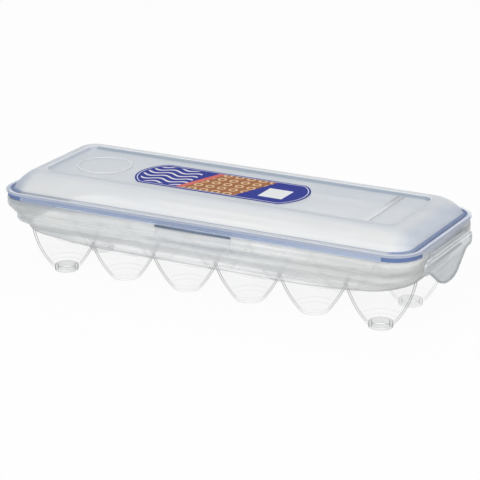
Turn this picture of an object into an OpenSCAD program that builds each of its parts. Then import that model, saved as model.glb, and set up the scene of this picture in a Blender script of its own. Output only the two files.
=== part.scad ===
// Egg keeper with a flip lid: a tray of twelve egg cups, a domed lid with a
// soft seal in its rim, and locking flaps on living hinges round the rim.
// The length runs along X and the front faces -Y. The origin lies between
// the feet, on the surface that the keeper stands on. Sizes are millimetres.

/* [Cups] */
// Distance between the middles of two cups along the length
cup_pitch = 49; // [47:0.5:56]
// Distance between the middles of the two rows
row_pitch = 49; // [47:0.5:56]
// Outer radius at a cup's mouth
cup_mouth_r = 24.1; // [20:0.1:24.2]
// Outer radius at a cup's flat bottom
cup_bottom_r = 10.4; // [6:0.1:16]
// Wall thickness of a cup
cup_wall = 1.2; // [0.8:0.1:2.4]
// How full the side of a cup is, where 1 is a straight cone
cup_fullness = 0.72; // [0.4:0.02:1]
// Outer radius of the foot ring under a corner cup
foot_r = 8.3; // [5:0.1:10]
// Width of the foot ring
foot_w = 2.1; // [1:0.1:3]
// Height of the foot ring
foot_h = 3; // [1:0.1:6]

/* [Tray] */
// Height of the underside of the deck round the cups
deck_z = 28; // [20:0.5:34]
// Thickness of the deck
deck_t = 1.6; // [1:0.1:3]
// Thickness of the tray's side wall
wall_t = 1.8; // [1.2:0.1:3]
// Deck left between a cup's mouth and the outside of the tray
deck_edge = 1.3; // [0.9:0.1:4]
// Rise of the deck towards each end of the tray
end_rise = 7; // [0:0.5:8]
// Height where the lower wall starts to widen
waist_z = 35; // [32:0.5:38]
// Height where the widened shoulder ends
shoulder_z = 42; // [40:0.5:44]
// Reach of the upper wall beyond the lower one at the ends
shoulder_out_x = 2.6; // [1:0.1:5]
// Reach of the upper wall beyond the lower one along the sides
shoulder_out_y = 6.1; // [2:0.1:9]
// Corner radius of the upper wall
tray_r = 18; // [12:0.5:24]
// Height where the wall starts to flare to its lip
flare_z = 46; // [44:0.5:49]
// Height of the lower edge of the lip
lip_z = 52; // [50:0.5:54]
// Reach of the lip beyond the upper wall at the ends
flare_out_x = 6.65; // [3:0.05:9]
// Reach of the lip beyond the upper wall along the sides
flare_out_y = 2.9; // [1.5:0.1:6]
// Corner radius of the lip
lip_r = 19.95; // [16:0.05:24]
// Height of the top of the lip
tray_h = 57.8; // [55.5:0.1:60]

/* [Lid] */
// Reach of the lid's rim beyond the tray's lip
rim_over = 0.85; // [0.5:0.05:2]
// Height of the rim
rim_h = 4.9; // [4:0.1:7]
// Thickness of the rim's top and of the dome
lid_t = 1.4; // [1:0.1:2.4]
// Thickness of the skirt outside the seal
skirt_t = 1.2; // [0.8:0.1:1.6]
// Width of the flat rim round the dome
rim_w = 5.75; // [5:0.05:8]
// Rise of the dome above the rim
dome_rise = 12.5; // [8:0.5:20]
// Width of the dome's slope along the length
slope_x = 16.5; // [10:0.5:24]
// Width of the dome's slope across the lid
slope_y = 19; // [12:0.5:24]
// Width of the raised bead round the sunk panel
crest_w = 2.4; // [1:0.1:5]
// Depth of the sunk panel
panel_depth = 2.6; // [1:0.1:5]
// Corner radius of the sunk panel
panel_r = 13; // [6:0.5:20]

/* [Seal] */
// Height of the seal
seal_h = 3.5; // [2:0.1:5]
// Width of the seal
seal_w = 4.2; // [3:0.1:5]

/* [Flaps] */
// Width of a flap at its hinge line
flap_w = 57; // [40:1:58]
// Thickness of a flap
flap_t = 1.6; // [1.2:0.1:2.4]
// Drop of the front and rear flaps below their hinge line
side_drop = 12.5; // [11:0.5:20]
// Corner radius of the front and rear flaps
side_corner_r = 4; // [1:0.5:8]
// Drop of the end flaps below their hinge line
end_drop = 27; // [24:0.5:30]
// Greatest width of an end flap
end_wide = 79; // [64:1:84]
// Drop of the wide part's upper corners below the hinge line
end_shoulder_drop = 4; // [2:0.5:5]
// Drop of the wide part's lower corners below the hinge line
end_wide_drop = 12.5; // [11:0.5:16]
// Width of an end flap's tongue where it leaves the wide part
tongue_w = 62; // [40:1:62]
// Width of the tongue's tip before it is rounded
tip_w = 22; // [10:1:36]
// Rounding of the wide part's corners
wide_round = 4; // [1:0.5:4.5]
// Rounding of the tongue's tip
tip_round = 9; // [2:0.5:12]
// Reach of the finger lip at the tongue's tip
finger_out = 1; // [0:0.5:4]
// Reach of the latch bead out of its flap
bead_h = 1; // [0.6:0.1:1.2]
// Height of the latch bead's flat tip
bead_tip = 0.8; // [0.4:0.1:1.6]
// Height of the latch bead at its root
bead_root = 2; // [1.6:0.1:3]
// Length of flap left free at each end of the latch bead
bead_end = 4; // [2:0.5:10]
// Drop of the latch bead below the hinge line
bead_drop = 8.6; // [7.5:0.1:10]

/* [Panel details] */
// Length of the label
label_l = 130; // [80:1:150]
// Width of the label
label_w = 45; // [30:1:54]
// Bulge of the label's round ends
label_bulge = 11; // [4:0.5:18]
// Distance of the label's middle from the middle of the lid
label_x = -10; // [-30:1:30]
// Thickness of the label
label_t = 0.25; // [0.15:0.05:0.5]
// Distance of the cross rib's middle from the panel's right end
rib_from_end = 22.35; // [10:0.05:40]
// Distance between the middles of the two ribs
rib_gap = 4; // [2:0.5:8]
// Width of one rib
rib_w = 1; // [0.6:0.1:2]
// Height of one rib
rib_h = 0.9; // [0.5:0.1:1.5]
// Height of the strip that joins the ribs
rib_base = 0.3; // [0.2:0.1:0.4]
// Distance from a rib's end to the side of the panel
rib_side_gap = 1.5; // [0.5:0.1:6]
// Distance of the round moulded ring's middle from the panel's left end
ring_from_end = 29.35; // [26:0.05:40]
// Outer radius of the round moulded ring
ring_r = 19.5; // [10:0.5:24]
// Width of the round moulded ring
ring_w = 1.2; // [0.6:0.1:3]
// Height of the round moulded ring
ring_h = 0.7; // [0.3:0.1:1.5]

/* [Clearances] */
// Gap between the lid and the tray's lip
lid_gap = 0.3; // [0.2:0.05:0.6]
// Gap between a latch bead and the tray's lip
latch_gap = 0.35; // [0.3:0.05:0.8]
// Gap between a flap's root and the bar it hangs from
root_gap = 0.2; // [0.15:0.05:0.4]
// Gap between the seal and the skirt
seal_gap = 0.05; // [0.02:0.01:0.2]

/* [Hidden] */
$fn = 96;
rows = 2;
cups_in_row = 6;
skin_steps = 10;
cup_steps = 9;
slope_steps = 7;
round_steps = 5;
round_share = 0.48;
finger_share = 1 / 3;

// Overlap that joins two solids, and how far a cutter runs past a face
weld = 0.2;
cut = 1;

// A cup's side leans, so across it the wall takes a little more than its
// thickness; its steps lie closer together towards the bottom
cup_wall_across = 1.1 * cup_wall;
cup_step_ease = 1.4;

// Handles of the curve of the dome's slope: inwards and upwards
slope_in_low = 0.12;
slope_in_high = 0.52;
slope_up_low = 0.42;

// Rounded inner edge of the raised bead
crest_edge = 0.5;

// Half sizes of the tray: its lower outline follows the corner cups, and
// the upper wall, the lip and the lid's rim each stand outside the last
end_cup_x = (cups_in_row - 1) * cup_pitch / 2;
low_r = cup_mouth_r + deck_edge;
low_x = end_cup_x + low_r;
low_y = (rows - 1) * row_pitch / 2 + low_r;
tray_x = low_x + shoulder_out_x;
tray_y = low_y + shoulder_out_y;
lip_x = tray_x + flare_out_x;
lip_y = tray_y + flare_out_y;
lid_x = lip_x + rim_over;
lid_y = lip_y + rim_over;
lid_r = lip_r + rim_over;
deck_top = deck_z + deck_t;

// The deck is level between the middles of the last cups but one; a fifth
// of its rise comes by the last cup's near side, the rest by the end
level_x = max(0, end_cup_x - cup_pitch);
steeper_x = end_cup_x - cup_pitch / 2;
function bow(x) = lookup(abs(x), [[level_x, 0], [steeper_x, end_rise / 5], [low_x, end_rise]]);

// Heights of the lid
lid_z = tray_h + lid_gap;
seal_top = lid_z + seal_h;
rim_top = lid_z + rim_h;
dome_top = rim_top + dome_rise;
panel_z = dome_top - panel_depth;
panel_x = lid_x - rim_w - slope_x - crest_w;
panel_y = lid_y - rim_w - slope_y - crest_w;

// Hinge lines: the flaps hang on them and the lid turns on the rear one
hinge_z = tray_h;
hinge_out = latch_gap + bead_h + flap_t / 2;
hinge_x = lip_x + hinge_out;
hinge_y = lip_y + hinge_out;

// Solid block with rounded corners, given by its half sizes
module rounded_block(hx, hy, r, z0, z1) {
    translate([0, 0, z0])
        linear_extrude(z1 - z0) {
            square([2 * hx, 2 * (hy - r)], center = true);
            square([2 * (hx - r), 2 * hy], center = true);
            for (sx = [-1, 1], sy = [-1, 1])
                translate([sx * (hx - r), sy * (hy - r)])
                    circle(r);
        }
}

// Quarter circle of a rounded outline, counter-clockwise from angle a0
function corner(cx, cy, r, z, a0) = [
    for (i = [0 : skin_steps])
        let (a = a0 + 90 * i / skin_steps)
        [cx + r * cos(a), cy + r * sin(a), z]
];

// Points along a long side, where the deck's slope changes
function side(cx, y, z, way) = [
    for (x = [steeper_x, level_x, -level_x, -steeper_x])
        [way * x * cx / end_cup_x, y, z]
];

// Points of one rounded outline at height z, counter-clockwise
function outline(hx, hy, r, z) =
    let (cx = hx - r, cy = hy - r)
    concat(
        corner(cx, cy, r, z, 0),
        side(cx, hy, z, 1),
        corner(-cx, cy, r, z, 90),
        corner(-cx, -cy, r, z, 180),
        side(cx, -hy, z, -1),
        corner(cx, -cy, r, z, 270)
    );

// The same outline, lifted by the deck's rise or kept above the deck
function lifted(ring) = [for (p = ring) [p[0], p[1], p[2] + bow(p[0])]];
function above_deck(ring) = [for (p = ring) [p[0], p[1], max(p[2], deck_top + deck_t / 2 + bow(p[0]))]];

// Closed skin over a chain of outlines; a looped one has no end caps
module skin(rings, looped = false) {
    n = len(rings[0]);
    m = len(rings);
    last = looped ? m - 1 : m - 2;
    sides = [
        for (j = [0 : last], i = [0 : n - 1])
            let (
                a = j * n + i,
                b = j * n + (i + 1) % n,
                c = ((j + 1) % m) * n + (i + 1) % n,
                d = ((j + 1) % m) * n + i
            )
            each [[a, c, b], [a, d, c]]
    ];
    caps = looped ? [] : [
        [for (i = [0 : n - 1]) i],
        [for (i = [n - 1 : -1 : 0]) (m - 1) * n + i]
    ];
    polyhedron([for (ring = rings) each ring], concat(sides, caps), convexity = 6);
}

// Side wall of the tray: it follows the cups, widens to a shoulder and
// flares to the lip that the seal sits on
module tray_wall() {
    t = wall_t;
    outer = [
        lifted(outline(low_x, low_y, low_r, deck_top)),
        above_deck(outline(low_x, low_y, low_r, waist_z)),
        outline(tray_x, tray_y, tray_r, shoulder_z),
        outline(tray_x, tray_y, tray_r, flare_z),
        outline(lip_x, lip_y, lip_r, lip_z),
        outline(lip_x, lip_y, lip_r, tray_h)
    ];
    inner = [
        outline(lip_x - t, lip_y - t, lip_r - t, tray_h),
        outline(lip_x - t, lip_y - t, lip_r - t, lip_z + t / 2),
        outline(tray_x - t, tray_y - t, tray_r - t, flare_z + t / 2),
        outline(tray_x - t, tray_y - t, tray_r - t, shoulder_z + t / 2),
        above_deck(outline(low_x - t, low_y - t, low_r - t, waist_z + t / 2)),
        lifted(outline(low_x - t, low_y - t, low_r - t, deck_top))
    ];
    color([0.88, 0.92, 0.95, 0.6])
        skin(concat(outer, inner), looped = true);
}

// Outer radius of a cup at a share s of its height
function cup_r(s) = cup_bottom_r + (cup_mouth_r - cup_bottom_r) * pow(s, cup_fullness);

// Slab that follows the deck's rise, from z0 to z1 above its level part
module deck_slab(z0, z1, flat_bottom = false) {
    xs = [-low_x - cut, -low_x, -steeper_x, -level_x, level_x, steeper_x, low_x, low_x + cut];
    top = [for (x = xs) [x, z1 + bow(x)]];
    bottom = [for (i = [len(xs) - 1 : -1 : 0]) [xs[i], flat_bottom ? z0 : z0 + bow(xs[i])]];
    rotate([90, 0, 0])
        linear_extrude(2 * (low_y + cut), center = true)
            polygon(concat(top, bottom));
}

// Half outline of a cup, raised by t and narrowed by a wall across its side
function cup_profile(t, across, top) = [
    [0, foot_h + t],
    for (i = [0 : cup_steps])
        let (
            s = pow(i / cup_steps, cup_step_ease),
            z = foot_h + t + s * (deck_z - foot_h - t)
        )
        [cup_r(s) - across, z],
    [cup_mouth_r - across, top],
    [0, top]
];

// One egg cup with its share of the deck; a corner cup has a foot ring
module egg_cup(column, row) {
    cx = (column - (cups_in_row + 1) / 2) * cup_pitch;
    cy = (row - (rows - 1) / 2) * row_pitch;
    on_corner = column == 1 || column == cups_in_row;
    left = column == 1 ? -low_x : cx - cup_pitch / 2;
    right = column == cups_in_row ? low_x : cx + cup_pitch / 2;
    front = row == 0 ? -low_y : 0;
    back = row == 0 ? 0 : low_y;
    top = deck_top + end_rise + cut;
    color([0.93, 0.95, 0.95, 0.45])
        difference() {
            union() {
                intersection() {
                    deck_slab(deck_z, deck_top);
                    rounded_block(low_x, low_y, low_r, deck_z - cut, top);
                    translate([left, front, deck_z - cut])
                        cube([right - left, back - front, top]);
                }
                intersection() {
                    deck_slab(-cut, deck_z + deck_t / 2, flat_bottom = true);
                    translate([cx, cy, 0])
                        rotate_extrude()
                            polygon(cup_profile(0, 0, top));
                }
                if (on_corner)
                    translate([cx, cy, 0])
                        cylinder(r = foot_r, h = foot_h + cup_wall / 2);
            }
            translate([cx, cy, 0])
                rotate_extrude()
                    polygon(cup_profile(cup_wall, cup_wall_across, top + cut));
            if (on_corner)
                translate([cx, cy, -cut])
                    cylinder(r = foot_r - foot_w, h = foot_h + cut);
        }
}

// Short curve from a to b that leans towards the corner p
function turned(a, p, b) = [
    for (k = [0 : round_steps])
        let (s = k / round_steps)
        a * pow(1 - s, 2) + p * 2 * s * (1 - s) + b * pow(s, 2)
];

// Closed polygon whose corners are rounded, each by its own reach
function eased(points, reaches) = [
    for (i = [0 : len(points) - 1])
        let (
            n = len(points),
            p = points[i],
            back = points[(i + n - 1) % n] - p,
            ahead = points[(i + 1) % n] - p,
            a = p + back * min(round_share, reaches[i] / norm(back)),
            b = p + ahead * min(round_share, reaches[i] / norm(ahead))
        )
        each reaches[i] > 0 ? turned(a, p, b) : [p]
];

// Outline of a front or rear flap, seen from outside
module side_flap_outline() {
    r = side_corner_r;
    translate([-flap_w / 2, r - side_drop])
        square([flap_w, side_drop - r + flap_t]);
    translate([r - flap_w / 2, -side_drop])
        square([flap_w - 2 * r, side_drop]);
    for (s = [-1, 1])
        translate([s * (flap_w / 2 - r), r - side_drop])
            circle(r);
}

// Outline of an end flap: it widens below its hinge line and ends in a
// tapered tongue for the finger
module end_flap_outline() {
    half = [
        [flap_w / 2, flap_t, 0],
        [flap_w / 2, -flap_t / 2, 0],
        [end_wide / 2, -end_shoulder_drop, wide_round],
        [end_wide / 2, -end_wide_drop, wide_round],
        [tongue_w / 2, -end_wide_drop, wide_round],
        [tip_w / 2, -end_drop, tip_round]
    ];
    other = [for (i = [len(half) - 1 : -1 : 0]) [-half[i][0], half[i][1], half[i][2]]];
    both = concat(half, other);
    polygon(eased([for (p = both) [p[0], p[1]]], [for (p = both) p[2]]));
}

// Locking flap in its own plane: its hinge line lies on X, it hangs down
// and its latch bead faces +Y, towards the tray; its outline is the child
module flap(wide, drop, lip_out, reach) {
    straight = drop - (lip_out > 0 ? drop * finger_share : 0);
    depth = 2 * (lip_out + flap_t + reach);
    intersection() {
        union() {
            rotate([90, 0, 90])
                linear_extrude(wide, center = true)
                    polygon([
                        [-flap_t / 2, 0],
                        [-flap_t / 2, -straight],
                        [-flap_t / 2 - lip_out, -drop],
                        [flap_t / 2 - lip_out, -drop],
                        [flap_t / 2, -straight],
                        [flap_t / 2, 0]
                    ]);
            rotate([0, 90, 0])
                cylinder(d = flap_t, h = flap_w, center = true);
            translate([0, flap_t / 2, -bead_drop])
                rotate([90, 0, 90])
                    linear_extrude(flap_w - 2 * bead_end, center = true)
                        polygon([
                            [-flap_t / 4, bead_root / 2],
                            [0, bead_root / 2],
                            [reach, bead_tip / 2],
                            [reach, -bead_tip / 2],
                            [0, -bead_root / 2],
                            [-flap_t / 4, -bead_root / 2]
                        ]);
        }
        rotate([90, 0, 0])
            linear_extrude(depth, center = true)
                children();
    }
}

// Rear flap: it stays clipped under the tray's lip and carries the lid
module rear_hinge_flap() {
    color([0.85, 0.9, 0.95, 0.6])
        translate([0, hinge_y, hinge_z])
            rotate([0, 0, 180])
                flap(flap_w, side_drop, 0, bead_h + latch_gap / 2)
                    side_flap_outline();
}

module front_flap() {
    color([0.85, 0.9, 0.95, 0.6])
        translate([0, -hinge_y, hinge_z])
            flap(flap_w, side_drop, 0, bead_h)
                side_flap_outline();
}

module left_flap() {
    color([0.85, 0.9, 0.95, 0.6])
        translate([-hinge_x, 0, hinge_z])
            rotate([0, 0, -90])
                flap(end_wide, end_drop, finger_out, bead_h)
                    end_flap_outline();
}

module right_flap() {
    color([0.85, 0.9, 0.95, 0.6])
        translate([hinge_x, 0, hinge_z])
            rotate([0, 0, 90])
                flap(end_wide, end_drop, finger_out, bead_h)
                    end_flap_outline();
}

// Rim of the lid: a flat ring with a skirt along each side, an inner wall
// that holds the seal, and a short bar that each flap hangs from
module lid_rim() {
    hx = lid_x;
    hy = lid_y;
    hole_x = hx - rim_w - lid_t;
    hole_y = hy - rim_w - lid_t;
    hole_r = lid_r - rim_w - lid_t;
    bar_x = hinge_x - flap_t / 2 - root_gap;
    bar_y = hinge_y - flap_t / 2 - root_gap;
    color([0.85, 0.9, 0.96, 0.6])
        difference() {
            union() {
                rounded_block(hx, hy, lid_r, seal_top, rim_top);
                rounded_block(hole_x + lid_t, hole_y + lid_t, hole_r + lid_t, lid_z, seal_top + weld / 2);
                for (s = [-1, 1]) {
                    translate([lid_r - hx, s * (hy - skirt_t / 2) - skirt_t / 2, lid_z])
                        cube([2 * (hx - lid_r), skirt_t, seal_h + weld / 2]);
                    translate([s * (hx - skirt_t / 2) - skirt_t / 2, lid_r - hy, lid_z])
                        cube([skirt_t, 2 * (hy - lid_r), seal_h + weld / 2]);
                    translate([-flap_w / 2, s > 0 ? hy - weld : -bar_y, lid_z])
                        cube([flap_w, bar_y - hy + weld, flap_t]);
                    translate([s > 0 ? hx - weld : -bar_x, -flap_w / 2, lid_z])
                        cube([bar_x - hx + weld, flap_w, flap_t]);
                }
            }
            rounded_block(hole_x, hole_y, hole_r, lid_z - cut, rim_top + cut);
        }
}

// Smooth curve from 0 to 1 with two handles, and with it the inset and the
// rise of the dome's slope at a share s of its way up
function curve(s, a, b) = 3 * s * pow(1 - s, 2) * a + 3 * pow(s, 2) * (1 - s) * b + pow(s, 3);
function slope_in(s) = curve(s, slope_in_low, slope_in_high);
function slope_up(s) = curve(s, slope_up_low, 1);

// One outline of the dome's slope, moved in by t
function slope_ring(s, t, drop) =
    let (
        hx = lid_x - rim_w - t - slope_in(s) * slope_x,
        hy = lid_y - rim_w - t - slope_in(s) * slope_y,
        r = lid_r - rim_w - t + slope_in(s) * (panel_r + crest_w - lid_r + rim_w)
    )
    outline(hx, hy, r, rim_top + slope_up(s) * dome_rise - drop);

// Dome of the lid: a rounded slope, a raised bead and a sunk flat panel
module lid_dome() {
    t = lid_t;
    inner = [
        outline(panel_x - t, panel_y - t, panel_r - t, panel_z - t),
        for (i = [slope_steps - 1 : -1 : 0])
            slope_ring(i / slope_steps, t, i == 0 ? 0 : t * slope_up(i / slope_steps))
    ];
    outer = [
        for (i = [0 : slope_steps]) slope_ring(i / slope_steps, 0, 0),
        outline(panel_x + crest_edge, panel_y + crest_edge, panel_r + crest_edge, dome_top - crest_edge / 5),
        outline(panel_x, panel_y, panel_r, dome_top - crest_edge * 1.2),
        outline(panel_x, panel_y, panel_r, panel_z)
    ];
    color([0.92, 0.95, 0.97, 0.6])
        skin(concat(inner, outer));
}

// Pair of low ribs across the sunk panel, on a thin common strip
module lid_cross_rib() {
    rib_l = 2 * (panel_y - rib_side_gap);
    color([0.9, 0.94, 0.97, 0.6])
        translate([panel_x - rib_from_end, 0, panel_z]) {
            translate([-(rib_gap + rib_w) / 2, -rib_l / 2, 0])
                cube([rib_gap + rib_w, rib_l, rib_base]);
            for (s = [-1, 1])
                translate([s * rib_gap / 2 - rib_w / 2, -rib_l / 2, 0])
                    cube([rib_w, rib_l, rib_h]);
        }
}

// Plain round ring moulded on the left of the panel
module lid_round_ring() {
    color([0.9, 0.94, 0.97, 0.6])
        translate([ring_from_end - panel_x, 0, panel_z])
            difference() {
                cylinder(r = ring_r, h = ring_h);
                translate([0, 0, -cut])
                    cylinder(r = ring_r - ring_w, h = ring_h + 2 * cut);
            }
}

// Seal: a soft ring in the channel of the lid's rim
module seal_ring() {
    hx = lid_x - skirt_t - seal_gap;
    hy = lid_y - skirt_t - seal_gap;
    r = lid_r - skirt_t - seal_gap;
    color([0.3, 0.42, 0.72])
        difference() {
            rounded_block(hx, hy, r, lid_z, seal_top);
            rounded_block(hx - seal_w, hy - seal_w, r - seal_w, lid_z - cut, seal_top + cut);
        }
}

// Label: a thin sheet with round ends on the sunk panel
module lid_label() {
    straight = label_l - 2 * label_bulge;
    end_r = (label_w * label_w / 4 + label_bulge * label_bulge) / (2 * label_bulge);
    color([0.16, 0.25, 0.62])
        translate([label_x, 0, panel_z])
            linear_extrude(label_t) {
                square([straight, label_w], center = true);
                for (s = [-1, 1])
                    intersection() {
                        translate([s * (straight / 2 + label_bulge - end_r), 0])
                            circle(end_r);
                        translate([s > 0 ? 0 : -label_l, -label_w / 2])
                            square([label_l, label_w]);
                    }
            }
}

tray_wall();
egg_cup(1, 0);  // cup_front_1
egg_cup(2, 0);  // cup_front_2
egg_cup(3, 0);  // cup_front_3
egg_cup(4, 0);  // cup_front_4
egg_cup(5, 0);  // cup_front_5
egg_cup(6, 0);  // cup_front_6
egg_cup(1, 1);  // cup_rear_1
egg_cup(2, 1);  // cup_rear_2
egg_cup(3, 1);  // cup_rear_3
egg_cup(4, 1);  // cup_rear_4
egg_cup(5, 1);  // cup_rear_5
egg_cup(6, 1);  // cup_rear_6
rear_hinge_flap();
lid_rim();
lid_dome();
lid_cross_rib();
lid_round_ring();
seal_ring();
lid_label();
front_flap();
left_flap();
right_flap();
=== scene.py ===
# %% [markdown]
# An egg keeper is a long shallow box for two rows of eggs. A tray of twelve
# clear cups hangs from a frosted side wall, and a domed lid with a blue
# silicone seal is held by four flaps on living hinges. The measured solids
# come in first as a fixed frame, and every finished piece is built round
# them in the same place and in metres.

# %% Load the frame
import math

import bmesh
import bpy
from mathutils import Matrix, Vector


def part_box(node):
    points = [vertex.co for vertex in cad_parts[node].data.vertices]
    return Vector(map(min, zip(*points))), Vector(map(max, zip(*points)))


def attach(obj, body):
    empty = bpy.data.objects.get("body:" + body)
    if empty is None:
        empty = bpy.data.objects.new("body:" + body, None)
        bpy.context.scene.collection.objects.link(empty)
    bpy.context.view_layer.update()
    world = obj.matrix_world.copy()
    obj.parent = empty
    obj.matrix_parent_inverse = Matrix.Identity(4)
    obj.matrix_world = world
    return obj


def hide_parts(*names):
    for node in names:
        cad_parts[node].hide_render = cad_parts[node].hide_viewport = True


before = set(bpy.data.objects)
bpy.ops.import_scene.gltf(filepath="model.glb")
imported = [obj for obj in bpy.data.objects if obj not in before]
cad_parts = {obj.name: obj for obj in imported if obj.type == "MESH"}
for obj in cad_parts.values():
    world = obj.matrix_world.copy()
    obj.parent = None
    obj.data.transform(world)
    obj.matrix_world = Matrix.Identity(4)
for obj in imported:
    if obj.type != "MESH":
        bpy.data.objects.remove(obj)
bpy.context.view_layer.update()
MM = 0.001

# %% [markdown]
# The camera comes first, because it decides what shows. It stands a metre
# and a half away, a little above the keeper and to the right of its front,
# and a long lens keeps the far end almost as large as the near one.

# %% Camera
VIEW_TARGET = Vector((3.97, 0.0, 34.46)) * MM
VIEW_FROM = Vector((0.442, -0.837, 0.321)).normalized()
VIEW_DISTANCE = 1.558
camera_data = bpy.data.cameras.new("camera")
camera_data.sensor_width = 36.0
camera_data.lens = 169.05
camera = bpy.data.objects.new("camera", camera_data)
camera.location = VIEW_TARGET + VIEW_FROM * VIEW_DISTANCE
camera.rotation_mode = "QUATERNION"
camera.rotation_quaternion = (-VIEW_FROM).to_track_quat("-Z", "Y")
bpy.context.scene.collection.objects.link(camera)
bpy.context.scene.camera = camera
print("camera at", [round(v, 3) for v in camera.location])

# %% [markdown]
# The sizes below are in millimetres. They are the solids' own, apart from the
# radius of the panel's corners and the fullness of the cups, which follow the
# look. An outline is a rounded rectangle: half length, half width and corner
# radius. The wall climbs through three of them: the lower one that follows
# the cups, the wider upper wall, and the lip. The deck is level in its middle
# and bows up towards both ends.

# %% Sizes in millimetres
LOW = (147.9, 49.9, 25.4)
UPPER = (150.5, 56.0, 18.0)
LIP = (157.15, 58.9, 19.95)
LID = (158.0, 59.75, 20.8)
FOOT_H, DECK_Z, DECK_TOP, WALL_T = 3.0, 28.0, 29.6, 1.8
SHOULDER_Z, FLARE_Z, LIP_Z, TRAY_H = 42.0, 46.0, 52.0, 57.8
WAIST_Z = 35.0
LID_Z, SEAL_TOP, RIM_TOP, DOME_TOP, PANEL_Z = 58.1, 61.6, 63.0, 75.5, 72.9
LID_T, RIM_W, SLOPE_X, SLOPE_Y, CREST_W, PANEL_R = 1.4, 5.75, 16.5, 19.0, 2.4, 6.0
FOOT = (LID[0] - RIM_W, LID[1] - RIM_W, LID[2] - RIM_W)
CREST = (FOOT[0] - SLOPE_X, FOOT[1] - SLOPE_Y, PANEL_R + CREST_W)
PANEL = (CREST[0] - CREST_W, CREST[1] - CREST_W, PANEL_R)
PITCH, COLUMNS, ROWS = 49.0, 6, 2
CUP_MOUTH, CUP_BOTTOM, CUP_WALL, FULLNESS = 24.1, 10.4, 1.2, 0.42
WALL_ACROSS = CUP_WALL * 1.1
MOUTH_R, FLOOR_R = CUP_MOUTH - WALL_ACROSS, CUP_BOTTOM - WALL_ACROSS
LAST_CUP_X, LAST_CUP_Y = (COLUMNS - 1) / 2 * PITCH, (ROWS - 1) / 2 * PITCH
BOW_RISE, BOW_POWER, BOW_START = 7.0, 1.45, 1.5 * PITCH
BOW_SPAN = LOW[0] - BOW_START
HINGE_X, HINGE_Y, HINGE_Z = 159.3, 61.05, 57.8
SEGMENTS = 96


def bow(x):
    """Rise of the deck at a distance x from the middle, in millimetres"""
    return BOW_RISE * max(0.0, (abs(x) - BOW_START) / BOW_SPAN) ** BOW_POWER


print("deck rises", [round(bow(x), 2) for x in (LAST_CUP_X, LOW[0])], "mm at the last cup and end")

# %% [markdown]
# Most walls here are lofts: a chain of rounded outlines with the same count
# of points, joined ring to ring. One helper gives an outline, one rounds the
# corners of a profile, and one skins the chain. A looped chain runs up the
# outside and down the inside, so the wall has its real thickness.

# %% Loft helpers
ARC, ALONG, ACROSS = 14, 56, 12


def arc_points(cx, cy, r, start):
    """Quarter circle, counter-clockwise from the angle start in degrees"""
    turns = [math.radians(start + 90 * i / ARC) for i in range(ARC + 1)]
    return [(cx + r * math.cos(a), cy + r * math.sin(a)) for a in turns]


def between(a, b, count):
    """Points strictly between a and b"""
    return [
        (a[0] + (b[0] - a[0]) * i / count, a[1] + (b[1] - a[1]) * i / count)
        for i in range(1, count)
    ]


def outline(hx, hy, r):
    """Rounded rectangle, counter-clockwise seen from above"""
    cx, cy = hx - r, hy - r
    centres = ((cx, cy), (-cx, cy), (-cx, -cy), (cx, -cy))
    quarters = [arc_points(*centre, r, 90 * i) for i, centre in enumerate(centres)]
    points = []
    for i, quarter in enumerate(quarters):
        count = ALONG if i % 2 == 0 else ACROSS
        points += quarter + between(quarter[-1], quarters[(i + 1) % 4][0], count)
    return points


def rounded(points, reach, steps=4, looped=False):
    """Polyline whose corners are turned into curves, by one reach or one each"""
    points = [Vector(p) for p in points]
    count = len(points)
    reaches = reach if isinstance(reach, list) else [reach] * count
    made = []
    for i, p in enumerate(points):
        if reaches[i] == 0 or (not looped and i in (0, count - 1)):
            made.append(p)
            continue
        back, ahead = points[i - 1] - p, points[(i + 1) % count] - p
        a = p + back * min(0.45, reaches[i] / back.length)
        b = p + ahead * min(0.45, reaches[i] / ahead.length)
        for k in range(steps + 1):
            t = k / steps
            made.append(a * (1 - t) ** 2 + p * 2 * t * (1 - t) + b * t * t)
    return made


def mesh_object(name, vertices, faces, edges=()):
    """Object at the origin whose mesh is given in millimetres"""
    mesh = bpy.data.meshes.new(name)
    mesh.from_pydata([Vector(v) * MM for v in vertices], edges, faces)
    mesh.update()
    for polygon in mesh.polygons:
        polygon.use_smooth = True
    made = bpy.data.objects.new(name, mesh)
    bpy.context.scene.collection.objects.link(made)
    return made


def skin(rings, looped=False, start_cap=False, end_cap=False):
    """Vertices and faces of a loft through rings of equal length"""
    n, m = len(rings[0]), len(rings)
    faces = []
    for j in range(m if looped else m - 1):
        k = (j + 1) % m
        for i in range(n):
            h = (i + 1) % n
            faces.append((j * n + i, j * n + h, k * n + h, k * n + i))
    if start_cap:
        faces.append(tuple(reversed(range(n))))
    if end_cap:
        faces.append(tuple((m - 1) * n + i for i in range(n)))
    return [p for ring in rings for p in ring], faces


def join(name, parts):
    """One object from several lists of vertices and faces"""
    vertices, faces = [], []
    for part_vertices, part_faces in parts:
        base = len(vertices)
        vertices += [tuple(v) for v in part_vertices]
        faces += [tuple(base + i for i in f) for f in part_faces]
    return mesh_object(name, vertices, faces)


def apply_modifiers(piece):
    """Turns a piece and its modifiers into one plain mesh"""
    bpy.context.view_layer.update()
    graph = bpy.context.evaluated_depsgraph_get()
    old = piece.data
    mesh = bpy.data.meshes.new_from_object(piece.evaluated_get(graph))
    piece.modifiers.clear()
    piece.data = mesh
    bpy.data.meshes.remove(old)


def triangles(piece):
    return sum(len(p.vertices) - 2 for p in piece.data.polygons)


print("an outline has", len(outline(*LID)), "points")

# %% [markdown]
# Node trees are easier to read as sums than as wires. Flow wraps a socket,
# and its operators add the Math node for each sign. Recipe adds any other
# node from its type, the values of its sockets and its settings. The same
# two classes serve the geometry trees and the materials.

# %% Node expressions


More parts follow.
